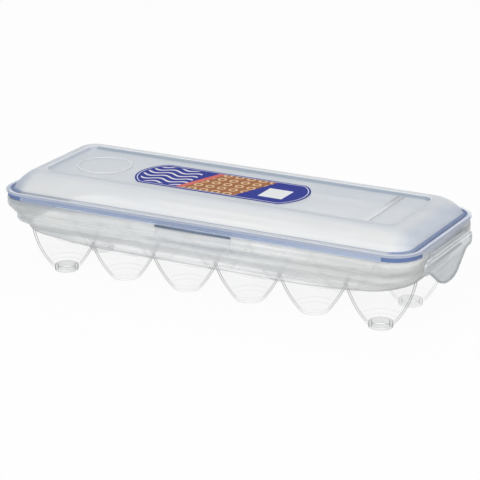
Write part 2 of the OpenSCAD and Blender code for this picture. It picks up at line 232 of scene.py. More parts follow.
class Flow:
    """A value on its way through a node tree"""

    def __init__(self, recipe, node, socket):
        self.recipe, self.node, self.socket = recipe, node, socket

    def out(self, name):
        """Another output of the same node"""
        return Flow(self.recipe, self.node, self.node.outputs[name])

    def math(self, operation, *values):
        sockets = dict(enumerate((self, *values)))
        return self.recipe.add("ShaderNodeMath", sockets, {"operation": operation})

    def turned(self, operation, value):
        sockets = {0: value, 1: self}
        return self.recipe.add("ShaderNodeMath", sockets, {"operation": operation})

    def __add__(self, v): return self.math("ADD", v)
    def __radd__(self, v): return self.math("ADD", v)
    def __sub__(self, v): return self.math("SUBTRACT", v)
    def __rsub__(self, v): return self.turned("SUBTRACT", v)
    def __mul__(self, v): return self.math("MULTIPLY", v)
    def __rmul__(self, v): return self.math("MULTIPLY", v)
    def __truediv__(self, v): return self.math("DIVIDE", v)
    def __pow__(self, v): return self.math("POWER", v)
    def __abs__(self): return self.math("ABSOLUTE")
    def least(self, v): return self.math("MINIMUM", v)
    def most(self, v): return self.math("MAXIMUM", v)

    def below(self, edge, soft=0.15):
        """1 where the value is under the edge, 0 above, with a soft step"""
        return self.recipe.clamp((edge - self) / soft + 0.5)


class Recipe:
    """Adds nodes to one tree"""

    def __init__(self, tree):
        self.tree = tree

    def add(self, kind, sockets=None, settings=None, out=0):
        node = self.tree.nodes.new(kind)
        for name, value in (settings or {}).items():
            setattr(node, name, value)
        for key, value in (sockets or {}).items():
            if isinstance(value, Flow):
                self.tree.links.new(value.socket, node.inputs[key])
            elif value is not None:
                node.inputs[key].default_value = value
        if not node.outputs:
            return node
        return Flow(self, node, node.outputs[out])

    def clamp(self, value):
        return self.add("ShaderNodeClamp", {"Value": value})

    def mix(self, factor, a, b):
        """Colour between a at 0 and b at 1"""
        return self.add(
            "ShaderNodeMix", {0: factor, 6: a, 7: b}, {"data_type": "RGBA"}, out=2
        )

    def split(self, vector, axis):
        return self.add("ShaderNodeSeparateXYZ", {0: vector}, out=axis)

    def principled(self, colour, rough, bump, extra):
        """Ends a material in one shader; bump is strength, depth and height"""
        bump = dict(zip(("Strength", "Distance", "Height"), bump))
        sockets = {"Base Color": colour, "Roughness": rough, **extra}
        sockets["Normal"] = self.add("ShaderNodeBump", bump)
        surface = self.add("ShaderNodeBsdfPrincipled", sockets)
        self.add("ShaderNodeOutputMaterial", {"Surface": surface})


def shade(code):
    """Linear colour from a six-digit screen colour"""
    parts = [int(code[i : i + 2], 16) / 255 for i in (0, 2, 4)]
    linear = [p / 12.92 if p <= 0.04045 else ((p + 0.055) / 1.055) ** 2.4 for p in parts]
    return (*linear, 1.0)


def blank_material(name):
    """A new node material and the recipe of its empty tree"""
    material = bpy.data.materials.new(name)
    material.use_nodes = True
    material.node_tree.nodes.clear()
    return material, Recipe(material.node_tree)


print("node classes ready")

# %% [markdown]
# Moulded polypropylene is milky rather than clear. Light passes through it,
# but each wall adds a thin veil, so two or three walls behind each other
# look denser. A partly transparent surface gives that veil, and a Layer
# Weight node makes it denser where the eye looks along the wall, as a real
# sheet does at its turning edges. Slow noise stands for the flow marks of
# the moulding, and fine noise for its satin grain. The pieces share these
# parts and differ in colour, veil and marks.

# %% Plastic helpers


class Plastic(Recipe):
    """A new material with the parts that every plastic here shares"""

    def __init__(self, name):
        self.material, blank = blank_material(name)
        super().__init__(blank.tree)
        self.place = self.add("ShaderNodeTexCoord", out="Object")
        parts = self.split(self.place, "X")
        self.x, self.y, self.z = (parts.out(axis) / MM for axis in "XYZ")
        self.grain = self.noise(1400.0, detail=2.0)
        self.facing = self.add("ShaderNodeLayerWeight", {"Blend": 0.5}, out="Facing")

    def noise(self, scale, stretch=(1.0, 1.0, 1.0), detail=3.0):
        along = self.add("ShaderNodeMapping", {"Vector": self.place, "Scale": stretch})
        return self.add("ShaderNodeTexNoise", {"Vector": along, "Scale": scale, "Detail": detail})

    def edge(self, power):
        """0 where the surface faces the eye, 1 where it turns away"""
        return self.clamp(self.facing**power)

    def near(self, value, middle, half, soft=0.4):
        """1 where a value is within half of the middle"""
        return abs(value - middle).below(half, soft)

    def lines(self, value, middles, half, soft=0.3):
        """1 on each of several thin lines"""
        found = self.near(value, middles[0], half, soft)
        for middle in middles[1:]:
            found = found.most(self.near(value, middle, half, soft))
        return found

    def finish(self, colour, alpha, rough, gloss, ior=1.49):
        rough = rough + (self.grain - 0.5) * 0.1
        extra = {"IOR": ior, "Specular IOR Level": gloss, "Alpha": self.clamp(alpha)}
        self.principled(colour, rough, (0.12, 0.0001, self.grain), extra)
        return self.material


def plain_plastic(name, pale, deep, veil, edge_veil, rough, gloss=0.3, gate_veil=0.0):
    """Translucent plastic; veil is how much of one surface is seen, and
    gate_veil is what it gains towards the right end"""
    m = Plastic(name)
    clouds = m.noise(42.0)
    edge = m.edge(2.5)
    colour = m.mix(clouds, shade(pale), shade(deep))
    alpha = veil + (edge_veil - veil) * edge + (clouds - 0.5) * (0.3 * veil)
    if gate_veil:
        alpha = alpha + m.clamp((m.x - 30.0) / 80.0) * gate_veil
    return m.finish(colour, alpha, rough + (clouds - 0.5) * 0.12, gloss)


clear_skirt = plain_plastic("clear_skirt", "dfeafc", "d2e0f6", 0.26, 0.5, 0.25, 0.2, 0.14)
clear_flap = plain_plastic("clear_flap", "e6eaee", "d8dde3", 0.08, 0.2, 0.28, 0.2)
milky_skirt = plain_plastic("milky_skirt", "e4e8f0", "d5dbe4", 0.6, 0.8, 0.3)
pale_moulding = plain_plastic("pale_moulding", "fafbfc", "f0f2f5", 0.75, 0.9, 0.3)
print("plastics", [m.name for m in (clear_skirt, clear_flap, milky_skirt, pale_moulding)])

# %% [markdown]
# A cup is almost clear, so what is seen of it is its outline, where the eye
# looks along the wall, and two faint turning marks near its floor. The
# outline is painted shade: a darker grey where the wall turns away, in place
# of the light that the curved wall bends. The rear row is drawn fainter than
# the front one, and so is what lies above the deck. The end flaps are thicker
# and a little cloudy, with level moulding streaks.

# %% Cup and flap plastic


def deck_rise(m):
    """Rise of the deck towards the ends, the same as bow"""
    return (((abs(m.x) - BOW_START) / BOW_SPAN).most(0.0) ** BOW_POWER) * BOW_RISE


def cup_plastic(name, veil, turned_from, marks):
    """Clear plastic with a painted dark outline, which begins at a share of turning away"""
    m = Plastic(name)
    clouds = m.noise(42.0)
    up = m.split(m.place.out("Normal"), "Z")
    level_part = m.clamp((abs(up) - 0.85) * 10.0)
    edge = m.clamp((m.facing - turned_from) * (2.4 / (1.0 - turned_from)))
    edge = edge * (1.0 - level_part * 0.75)
    front_part = m.y.below(0.0, 4.0)
    mark = m.lines(m.z, marks, 0.1, 0.25) if marks else 0.0
    colour = m.mix(clouds, shade("f6f6f4"), shade("e9eae9"))
    # Painted shade: the outline turns grey where the wall turns away from the eye
    colour = m.mix(edge, colour, shade("7f8384"))
    colour = m.mix(mark, colour, shade("a8abac"))
    alpha = veil + (0.66 - veil) * edge + mark * 0.12
    alpha = alpha * (0.45 + front_part * 0.55)
    under_deck = (m.z - deck_rise(m)).below(27.0, 1.5)
    alpha = alpha * (0.3 + under_deck * 0.7)
    return m.finish(colour, alpha, 0.16 + (clouds - 0.5) * 0.1, 0.05, 1.1)


def flap_plastic():
    m = Plastic("milky_flap")
    streaks = m.noise(80.0, (0.3, 0.1, 2.2))
    bands = m.clamp((streaks - 0.5) * 4.0 + 0.5)
    edge = m.edge(3.5)
    front_part = m.y.below(-33.0, 9.0)
    top_line = m.lines(m.z, (52.6, 55.2), 0.35, 0.3)
    colour = m.mix(bands, shade("c6cdd2"), shade("f4f6f8"))
    colour = m.mix(top_line, colour, shade("fbfcff"))
    low_part = m.z.below(46.0, 6.0)
    colour = m.mix(low_part * 0.5, colour, shade("b9c0c2"))
    alpha = 0.32 + bands * 0.16 + edge * 0.22 + top_line * 0.4 + low_part * 0.12
    alpha = alpha * (1.0 - front_part * 0.5)
    return m.finish(colour, alpha, 0.32 + (streaks - 0.5) * 0.1, 0.3)


clear_cup = cup_plastic("clear_cup", 0.035, 0.77, (5.3, 8.0))
foot_plastic = cup_plastic("foot_plastic", 0.27, 0.55, ())
milky_flap = flap_plastic()
print("cup plastic has", len(clear_cup.node_tree.nodes), "nodes")

# %% [markdown]
# The lid's plastic changes with its place: the rim is milky on its land, and
# clear towards the foot of the slope, so that the blue below shows as a
# line. Painted lines stand for light and shade: a painted shade in the crease
# at the slope's foot, which at the far ends is bluer with the seal below, a
# painted shade along the panel's step and a painted highlight along the
# crest. All this depends on the distance inwards from the outline of the lid
# or of the panel, worked out as for a rounded rectangle in the material
# itself. The surface's own normal tells the level panel, the slope and the
# ends apart, and by it shade is painted: the level faces are a little bluer,
# the end slopes blue-grey and the slope that faces left darker.

# %% Lid plastic


def from_outline(m, shape):
    """Distance inwards from a rounded rectangle, in millimetres"""
    hx, hy, radius = shape
    qx, qy = abs(m.x) - (hx - radius), abs(m.y) - (hy - radius)
    beyond = (qx.most(0.0) ** 2.0 + qy.most(0.0) ** 2.0) ** 0.5
    return radius - beyond - qx.most(qy).least(0.0)


def milky_lid():
    m = Plastic("milky_lid")
    inward = from_outline(m, LID)
    in_panel = from_outline(m, PANEL)
    streaks = m.clamp((m.noise(60.0, (0.12, 1.0, 1.0)) - 0.5) * 2.0 + 0.5)
    clouds = m.noise(30.0)
    edge = m.edge(2.5)
    up = m.split(m.place.out("Normal"), "Z")
    level_part = m.clamp((abs(up) - 0.9) * 12.0)
    tilt = up.out("X")
    end_part = m.clamp((abs(tilt) - 0.3) * 2.5)
    left_part = m.clamp((tilt + 0.04) * -3.0)
    far_end = m.clamp((abs(m.x) - 138.0) / 4.0)
    left_rim = m.x.below(-150.5, 4.0)
    lip_width, land_width, clear_middle, foot_at = 0.9, 3.0, 4.5, 5.8
    land_part = inward.below(land_width, 0.4)
    lip_part = inward.below(lip_width, 0.4)
    clear_part = m.near(inward, clear_middle, 1.2, 0.4)
    foot_shade_and_seal_line = abs(inward - foot_at).below(far_end * 0.25 + 0.25, 0.15)
    left_step = m.x.below(3.0 - PANEL[0], 2.0)
    step_shade_line = m.near(in_panel, 0.0, 0.4, 0.3) * (1.0 - left_step * 0.8)
    crest_highlight_line = abs(in_panel + 1.0).below(end_part * 0.1 + 0.35, 0.3)
    colour = m.mix(streaks, shade("f6f6f4"), shade("ebedef"))
    # Painted shade by the normal: level faces a little bluer, end slopes blue-grey, the slope facing
    # left darker
    colour = m.mix(level_part, colour, m.mix(clouds, shade("f2f5f9"), shade("e6ebf1")))
    colour = m.mix(end_part, colour, shade("e2e8f2"))
    colour = m.mix(left_part, colour, shade("cbd3e0"))
    colour = m.mix(land_part, colour, m.mix(left_rim, shade("f2f6fe"), shade("bccae2")))
    # Painted shade in the crease at the slope's foot, bluer at the far ends where the seal shows;
    # painted shade along the panel's step; painted highlight along the crest
    colour = m.mix(foot_shade_and_seal_line, colour, m.mix(far_end, shade("a8b0bf"), shade("8194bb")))
    colour = m.mix(step_shade_line, colour, shade("a6b2bf"))
    colour = m.mix(crest_highlight_line, colour, shade("fafbfd"))
    veil = 0.6 + (streaks - 0.5) * 0.1 - level_part * 0.05 + land_part * 0.25
    alpha = veil + (0.85 - veil) * edge
    alpha = alpha * (1.0 - clear_part * 0.88) * (1.0 - lip_part * 0.55)
    drawn = foot_shade_and_seal_line.most(step_shade_line).most(crest_highlight_line)
    alpha = alpha + (0.85 - alpha) * drawn
    return m.finish(colour, alpha, 0.30 + (clouds - 0.5) * 0.12, 0.25)


lid_plastic = milky_lid()
print("lid plastic has", len(lid_plastic.node_tree.nodes), "nodes")

# %% [markdown]
# The side wall is frosted. Its melt ran along the length, so it carries fine
# level streaks, and the start of the flare under the lip has painted
# highlights in broken strokes, where it would catch the light. Towards the
# right end the wall is painted greyer, as painted shade. Towards the cups the
# wall is thinner and clearer, and its cut lower edge shows as a thin dark
# line that rises with the deck.

# %% Frosted wall


def frosted_wall():
    m = Plastic("frosted_wall")
    streaks = m.clamp((m.noise(110.0, (0.06, 0.06, 2.4), 4.0) - 0.5) * 4.0 + 0.5)
    broad = m.noise(26.0, (0.35, 0.35, 1.0))
    edge = m.edge(3.0)
    above_edge = m.z - deck_rise(m) - DECK_TOP
    middle_part = m.clamp((m.x + 108.0) / 18.0) * m.clamp((128.0 - m.x) / 18.0)
    low_part = above_edge.below(5.6, 2.0) * middle_part
    left_part = m.x.below(-40.0, 120.0)
    right_shade = m.clamp((m.x - 50.0) / 60.0)
    glint_band = m.near(m.z, 47.3, 1.4, 0.8)
    painted_glints = m.clamp((m.noise(60.0, (0.18, 0.18, 2.6), 3.0) - 0.48) * 9.0)
    line = above_edge.below(0.4, 0.3)
    colour = m.mix(streaks, shade("e6e9ea"), shade("aab2ba"))
    colour = m.mix(broad * 0.6, colour, shade("e0e0dc"))
    # Painted shade: the wall turns greyer and denser towards the right end
    colour = m.mix(right_shade * 0.6, colour, shade("c9cac4"))
    # Painted highlight in broken strokes along the start of the flare
    colour = m.mix(glint_band * painted_glints, colour, shade("fdfbf5"))
    colour = m.mix(line, colour, shade("b0b1af"))
    veil = 0.4 + (streaks - 0.5) * 0.3 + glint_band * painted_glints * 0.5 - low_part * 0.3
    veil = veil + left_part * 0.12 + right_shade * 0.1
    alpha = veil + (0.72 - veil) * edge
    alpha = alpha + (0.45 - alpha) * line
    return m.finish(colour, alpha, 0.34 + (broad - 0.5) * 0.12, 0.2)


frosted = frosted_wall()
print("frosted wall has", len(frosted.node_tree.nodes), "nodes")

# %% [markdown]
# The side wall follows the lower outline up to its waist, swells to a
# shoulder, and flares once more to the lip that carries the seal. Its lower
# edge bows upwards towards both ends with the deck. A loft suits it,
# because the outline changes its corner radius on the way up.

# %% Tray wall
REACHES = (0.0, UPPER[1] - LOW[1], LIP[1] - LOW[1])


def wall_outline(reach, inset):
    """Outline of the wall where it stands reach outside its lower part"""
    k = 0 if reach <= REACHES[1] else 1
    t = (reach - REACHES[k]) / (REACHES[k + 1] - REACHES[k])
    a, b = ((LOW, UPPER), (UPPER, LIP))[k]
    hx, hy, r = (a[i] + (b[i] - a[i]) * t - inset for i in range(3))
    return outline(hx, hy, r)


def raised(x, z):
    """Height z with its share of the deck's rise, which fades at the shoulder"""
    share = max(0.0, (SHOULDER_Z - z) / (SHOULDER_Z - DECK_Z)) ** 1.5
    return z + bow(x) * min(1.0, share)


def wall_ring(reach, inset, z):
    return [(x, y, raised(x, z)) for x, y in wall_outline(reach, inset)]


mid, top = REACHES[1], REACHES[2]
t = WALL_T
wall_profile = [
    (0.0, 0.0, DECK_TOP + 0.02),
    (0.0, 0.0, WAIST_Z),
    (mid, 0.0, SHOULDER_Z),
    (mid, 0.0, FLARE_Z),
    (top, 0.0, LIP_Z),
    (top, 0.0, TRAY_H),
    (top, t, TRAY_H),
    (top, t, LIP_Z + t / 2),
    (mid, t, FLARE_Z + t / 2),
    (mid, t, SHOULDER_Z + t / 2),
    (0.0, t, WAIST_Z + t / 2),
    (0.0, t, DECK_TOP + 0.02),
]
wall_rings = [wall_ring(*p) for p in rounded(wall_profile, 1.1, looped=True)]
tray_side = mesh_object("tray_side_wall", *skin(wall_rings, looped=True))
print("tray wall", triangles(tray_side), "triangles")

# %% [markdown]
# The twelve cups repeat one rule, so Geometry Nodes make them. A grid is
# wrapped into a bowl by its own coordinates: one way round the cup, the
# other from the middle of the floor up to the mouth. Two faint steps near
# the floor are the mould's turning marks. The bowl is then set on a grid of
# points, and the mouths are lifted where the deck rises.

# %% Cup geometry tree


def number_input(tree, name, value, kind="NodeSocketFloat"):
    socket = tree.interface.new_socket(name, in_out="INPUT", socket_type=kind)
    socket.default_value = value
    return socket.identifier


cup_tree = bpy.data.node_groups.new("egg_cups", "GeometryNodeTree")
cup_tree.interface.new_socket("Geometry", in_out="OUTPUT", socket_type="NodeSocketGeometry")
cup_inputs = {
    name: number_input(cup_tree, name, value * MM)
    for name, value in {
        "Mouth radius": MOUTH_R,
        "Floor radius": FLOOR_R,
        "Floor height": FOOT_H + CUP_WALL,
        "Mouth height": DECK_Z,
        "Pitch": PITCH,
    }.items()
}
cup_inputs["Fullness"] = number_input(cup_tree, "Fullness", FULLNESS)
cup_inputs["Columns"] = number_input(cup_tree, "Columns", COLUMNS, "NodeSocketInt")
cup_inputs["Rows"] = number_input(cup_tree, "Rows", ROWS, "NodeSocketInt")
g = Recipe(cup_tree)
given = g.add("NodeGroupInput", out="Pitch")
FLOOR_SHARE = 0.22
MARK_LEVELS, MARK_WIDTH, MARK_HEIGHT = (0.05, 0.16), 0.012, 0.08
sheet = g.add(
    "GeometryNodeMeshGrid",
    {"Size X": 1.0, "Size Y": 1.0, "Vertices X": SEGMENTS + 1, "Vertices Y": 40},
)
spot = g.split(g.add("GeometryNodeInputPosition"), "X")
turn = (spot + 0.5) * math.tau
climb = spot.out("Y") + 0.5
floor_part = (climb / FLOOR_SHARE).least(1.0)
rise = ((climb - FLOOR_SHARE) / (1 - FLOOR_SHARE)).most(0.0) ** 1.5
floor_z, mouth_z = given.out("Floor height"), given.out("Mouth height")
floor_r, mouth_r = given.out("Floor radius"), given.out("Mouth radius")
marks = sum(
    (((rise - level) / MARK_WIDTH) ** 2.0 * -1.0).math("EXPONENT") * (MARK_HEIGHT * MM)
    for level in MARK_LEVELS
)
swell = rise * (given.out("Fullness") * (1.0 - rise) + 1.0)
radius = floor_r * floor_part + (mouth_r - floor_r) * swell + marks
height = floor_z + (mouth_z - floor_z) * rise
bowl_place = g.add(
    "ShaderNodeCombineXYZ",
    {"X": radius * turn.math("COSINE"), "Y": radius * turn.math("SINE"), "Z": height},
)
bowl = g.add("GeometryNodeSetPosition", {"Geometry": sheet, "Position": bowl_place})
bowl = g.add("GeometryNodeMergeByDistance", {"Geometry": bowl, "Distance": 0.00001})
points = g.add(
    "GeometryNodeMeshGrid",
    {
        "Size X": given * (given.out("Columns") - 1.0),
        "Size Y": given * (given.out("Rows") - 1.0),
        "Vertices X": given.out("Columns"),
        "Vertices Y": given.out("Rows"),
    },
)
cups = g.add("GeometryNodeInstanceOnPoints", {"Points": points, "Instance": bowl})
cups = g.add("GeometryNodeRealizeInstances", {0: cups})
where = g.split(g.add("GeometryNodeInputPosition"), "X")
end_share = ((abs(where) - BOW_START * MM) / (BOW_SPAN * MM)).most(0.0) ** BOW_POWER
up_share = ((where.out("Z") - floor_z) / (mouth_z - floor_z)).most(0.0) ** 3.0
lift = g.add("ShaderNodeCombineXYZ", {"Z": end_share * up_share * (BOW_RISE * MM)})
cups = g.add("GeometryNodeSetPosition", {"Geometry": cups, "Offset": lift})
cups = g.add("GeometryNodeSetMaterial", {"Geometry": cups, "Material": clear_cup})
g.add("NodeGroupOutput", {0: cups})

cup_bowls = mesh_object("cup_bowls", [(0, 0, 0)], [])
grower = cup_bowls.modifiers.new("cups", "NODES")
grower.node_group = cup_tree
grower[cup_inputs["Pitch"]] = PITCH * MM
apply_modifiers(cup_bowls)
print("bowls", triangles(cup_bowls), "triangles")

# %% [markdown]
# The deck joins the cups into one sheet. Round each cup lies a cell: its
# inner edge is the mouth, turned down with a small radius, and its outer
# edge meets the next cell or the outline of the tray. Welded to the bowls it
# is one skin, and Solidify gives that skin the wall of the moulding.

# %% Deck and cups as one sheet
MOUTH_TURN = 0.8
EDGE = LOW[2]


def cell_edge(k, ex, ey, round_corner):
    """Point k of a quarter of a cell's outer edge, in its own quadrant"""
    a = math.radians(90.0 * k * 4 / SEGMENTS)
    if round_corner:
        return EDGE * math.cos(a), EDGE * math.sin(a)
    if a <= math.radians(45.0) + 1e-9:
        return ex, ey * math.tan(a)
    return ex / math.tan(a), ey


def deck_cell(column, row):
    """Vertices and faces of the deck round one cup"""
    cx, cy = column * PITCH - LAST_CUP_X, row * PITCH - LAST_CUP_Y
    quarter = SEGMENTS // 4
    edge = []
    for i in range(SEGMENTS):
        q, k = divmod(i, quarter)
        sx, sy = ((1, 1), (-1, 1), (-1, -1), (1, -1))[q]
        ends_x = column == (COLUMNS - 1 if sx > 0 else 0)
        ends_y = row == (ROWS - 1 if sy > 0 else 0)
        ex = EDGE if ends_x else PITCH / 2
        ey = EDGE if ends_y else PITCH / 2
        x, y = cell_edge(quarter - k if q % 2 else k, ex, ey, ends_x and ends_y)
        edge.append((cx + sx * x, cy + sy * y))
    rings = []
    for k in range(4):
        a = math.radians(30.0 * k)
        r = MOUTH_R + MOUTH_TURN * (1 - math.cos(a))
        z = DECK_Z + (DECK_TOP - DECK_Z) * math.sin(a)
        ring = []
        for i in range(SEGMENTS):
            b = math.tau * i / SEGMENTS
            x, y = cx + r * math.cos(b), cy + r * math.sin(b)
            ring.append((x, y, z + bow(x)))
        rings.append(ring)
    rings.append([(x, y, DECK_TOP + bow(x)) for x, y in edge])
    return skin(rings)


cells = [deck_cell(column, row) for column in range(COLUMNS) for row in range(ROWS)]
cup_tray = join("cup_tray", cells)
bm = bmesh.new()
bm.from_mesh(cup_tray.data)
bm.from_mesh(cup_bowls.data)
bmesh.ops.remove_doubles(bm, verts=bm.verts, dist=0.02 * MM)
bmesh.ops.recalc_face_normals(bm, faces=bm.faces)
deck_faces = [f for f in bm.faces if abs(f.normal.z) > 0.99 and f.calc_center_median().z > DECK_Z * MM]
if deck_faces[0].normal.z < 0:
    bmesh.ops.reverse_faces(bm, faces=bm.faces)
open_edges = sum(1 for e in bm.edges if e.is_boundary)
for f in bm.faces:
    f.smooth = True
bm.to_mesh(cup_tray.data)
bm.free()
bpy.data.objects.remove(cup_bowls)
wall = cup_tray.modifiers.new("wall", "SOLIDIFY")
wall.thickness = CUP_WALL * MM
wall.offset = -1.0
wall.use_even_offset = True
apply_modifiers(cup_tray)
print("cup tray", triangles(cup_tray), "triangles,", open_edges, "open edges before its wall")

# %% [markdown]
# The four corner cups stand on short foot rings. A lathe profile with
# rounded edges, turned round each corner cup, makes them.

# %% Foot rings


def lathe(profile, cx, cy):
    """Solid ring from a closed profile of (radius, height) points"""
    rings = []
    for r, z in profile:
        turns = [math.tau * i / SEGMENTS for i in range(SEGMENTS)]
        rings.append([(cx + r * math.cos(a), cy + r * math.sin(a), z) for a in turns])
    return skin(rings, looped=True)


FOOT_OUT, FOOT_IN, FOOT_TOP = 8.3, 6.2, FOOT_H + 0.9
foot_profile = [(FOOT_OUT, 0.0), (FOOT_OUT, FOOT_TOP), (FOOT_IN, FOOT_TOP), (FOOT_IN, 0.0)]
foot_profile = rounded(foot_profile, 0.5, 3, looped=True)
feet = join(
    "foot_rings",
    [lathe(foot_profile, sx * LAST_CUP_X, sy * LAST_CUP_Y) for sx in (-1, 1) for sy in (-1, 1)],
)
print("foot rings", triangles(feet), "triangles")

# %% [markdown]
# The lid is one thin skin from the edge of its rim to the flat panel. The
# slope is a soft curve, the crest is a narrow bead, and the panel is sunk
# inside it. A shallow groove parts the flat rim from the foot of the slope.

# %% Lid shell
GROOVE, GROOVE_AT, LIP_ROUND = 0.5, 3.9, 0.9
RIM_UNDER, PANEL_EDGE = SEAL_TOP + 0.02, 3.0
SLOPE_STEPS = 22


def inset(shape, d):
    return tuple(v - d for v in shape)


def flat_ring(shape, z):
    return [(x, y, z) for x, y in outline(*shape)]


def ring_wall(name, shape, profile, reach, steps):
    """Closed wall along a shape, from points of (distance inwards, height)"""
    profile = rounded(profile, reach, steps, looped=True)
    return mesh_object(name, *skin([flat_ring(inset(shape, d), z) for d, z in profile], looped=True))


def slope_shape(s):
    """Outline and height of the slope at a share s of its way up"""
    inward = 3 * s * (1 - s) ** 2 * 0.12 + 3 * s * s * (1 - s) * 0.52 + s**3
    up = 3 * s * (1 - s) ** 2 * 0.42 + 3 * s * s * (1 - s) + s**3
    shape = tuple(FOOT[i] + (CREST[i] - FOOT[i]) * inward for i in range(3))
    return shape, RIM_TOP + up * (DOME_TOP - RIM_TOP), up


outer = [(LID, RIM_UNDER), (LID, SEAL_TOP + 0.5)]
for degrees in (0, 30, 60, 90):
    a = math.radians(degrees)
    outer.append((inset(LID, LIP_ROUND * (1 - math.cos(a))), RIM_TOP - LIP_ROUND * (1 - math.sin(a))))
outer.append((inset(LID, GROOVE_AT), RIM_TOP))
outer += [(inset(LID, GROOVE_AT + d), RIM_TOP - GROOVE) for d in (0.5, 1.2)]
outer += [slope_shape(i / SLOPE_STEPS)[:2] for i in range(1, SLOPE_STEPS + 1)]
outer += [
    (inset(CREST, 1.0), DOME_TOP),
    (inset(CREST, 1.8), DOME_TOP - 0.15),
    (inset(CREST, 2.2), DOME_TOP - 0.6),
    (inset(CREST, 2.35), DOME_TOP - 1.2),
    (PANEL, PANEL_Z + 0.5),
    (inset(PANEL, 0.35), PANEL_Z + 0.12),
    (inset(PANEL, 0.9), PANEL_Z),
    (inset(PANEL, PANEL_EDGE), PANEL_Z),
]
inner = [(inset(PANEL, d), PANEL_Z - LID_T) for d in (PANEL_EDGE, LID_T)]
for i in range(SLOPE_STEPS - 1, 0, -1):
    shape, z, up = slope_shape(i / SLOPE_STEPS)
    inner.append((inset(shape, LID_T), z - LID_T * up))
inner += [(inset(LID, d), RIM_UNDER) for d in (RIM_W + LID_T, 3.0)]
# The loft runs from under the panel out to the rim and back up to the panel,
# and its two caps are the panel's flat faces
lid_rings = [flat_ring(*r) for r in inner + outer]
lid_shell = mesh_object("lid_shell", *skin(lid_rings, start_cap=True, end_cap=True))
print("lid shell", triangles(lid_shell), "triangles")

# %% [markdown]
# Under the rim hang an inner wall, which holds the seal from inside, and a
# skirt along each side. The skirts stop at the corners, where the blue seal
# shows bare. The long skirts are clear, so the seal shows through them as a
# paler band, and the inner wall takes on the blue of the seal beside it. A
# short bar stands out above each flap and carries its hinge.

# %% Lid channel


def bar(x0, x1, y0, y1, z0, z1, edge=0.25):
    """Block with rounded long edges, as a loft along its longer way"""
    along_x = x1 - x0 > y1 - y0
    a0, a1 = (y0, y1) if along_x else (x0, x1)
    profile = rounded([(a0, z0), (a1, z0), (a1, z1), (a0, z1)], edge, 3, looped=True)
    middle = Vector(((a0 + a1) / 2, (z0 + z1) / 2))
    start, end = (x0, x1) if along_x else (y0, y1)
    rings = []
    for where_at, pull in ((start, edge), (start + edge, 0.0), (end - edge, 0.0), (end, edge)):
        ring = []
        for p in profile:
            away = middle - p
            across = p.x + math.copysign(min(abs(away.x), pull), away.x)
            up = p.y + math.copysign(min(abs(away.y), pull), away.y)
            ring.append((where_at, across, up) if along_x else (across, where_at, up))
        rings.append(ring if along_x else list(reversed(ring)))
    return skin(rings, start_cap=True, end_cap=True)


SKIRT_T, FLAP_T, FLAP_W = 1.2, 1.6, 57.0
hole = inset(LID, RIM_W + LID_T)
channel_profile = [(0.0, LID_Z), (-LID_T, LID_Z), (-LID_T, SEAL_TOP), (0.0, SEAL_TOP)]
tinted_wall = plain_plastic("seal_side_wall", "7c97c6", "6884b8", 0.7, 0.9, 0.3, 0.2)
lid_channel = ring_wall("lid_channel", hole, channel_profile, 0.3, 3)

long_skirts, end_parts = [], []
sx_end, sy_end = LID[0] - LID[2], LID[1] - LID[2]
bar_x, bar_y = HINGE_X - FLAP_T / 2 - 0.2, HINGE_Y - FLAP_T / 2 - 0.2
for s in (-1, 1):
    y0, y1 = sorted((s * (LID[1] - SKIRT_T), s * LID[1]))
    long_skirts.append(bar(-sx_end, sx_end, y0, y1, LID_Z, SEAL_TOP))
    x0, x1 = sorted((s * (LID[0] - SKIRT_T), s * LID[0]))
    end_parts.append(bar(x0, x1, -sy_end, sy_end, LID_Z, SEAL_TOP))
    y0, y1 = sorted((s * LID[1], s * bar_y))
    long_skirts.append(bar(-FLAP_W / 2, FLAP_W / 2, y0, y1, LID_Z, LID_Z + FLAP_T, 0.15))
    x0, x1 = sorted((s * LID[0], s * bar_x))
    end_parts.append(bar(x0, x1, -FLAP_W / 2, FLAP_W / 2, LID_Z, LID_Z + FLAP_T, 0.15))
lid_skirts = join("lid_long_skirts", long_skirts)
lid_end_skirts = join("lid_end_skirts", end_parts)
for piece in (lid_channel, lid_skirts, lid_end_skirts):
    print(piece.name, triangles(piece), "triangles")

# %% [markdown]
# The seal is a soft ring of blue silicone. Silicone is matt and lets no
# light through at this thickness, so it is drawn opaque, unlike the
# plastics. Fine dust-like grain in roughness and bump keeps it from looking
# like paint. Its crown stands a little higher than the solid's, in the rim.

# %% Seal


def silicone(name, pale, deep):
    material, r = blank_material(name)
    place = r.add("ShaderNodeTexCoord", out="Object")
    slow = r.add("ShaderNodeTexNoise", {"Vector": place, "Scale": 60.0, "Detail": 2.0})
    fine = r.add("ShaderNodeTexNoise", {"Vector": place, "Scale": 2200.0, "Detail": 2.0})
    colour = r.mix(slow, shade(pale), shade(deep))
    r.principled(colour, 0.52 + fine * 0.12, (0.25, 0.0001, fine), {})
    return material


blue_silicone = silicone("blue_silicone", "6a80ae", "586e9e")
SEAL_OUT, SEAL_W, SEAL_CROWN = SKIRT_T + 0.05, 4.2, SEAL_TOP + 0.7
seal_outer = inset(LID, SEAL_OUT)
seal_profile = [(0.0, LID_Z), (0.0, SEAL_CROWN), (SEAL_W, SEAL_CROWN), (SEAL_W, LID_Z)]
seal = ring_wall("silicone_seal", seal_outer, seal_profile, 0.7, 4)
print("seal", triangles(seal), "triangles")

# %% [markdown]
# On the sunk panel stand a plain round ring on the left and a pair of low
# ribs on the right, both moulded in. Rounded edges catch a thin line of
# light, which is all that shows of them from the front.

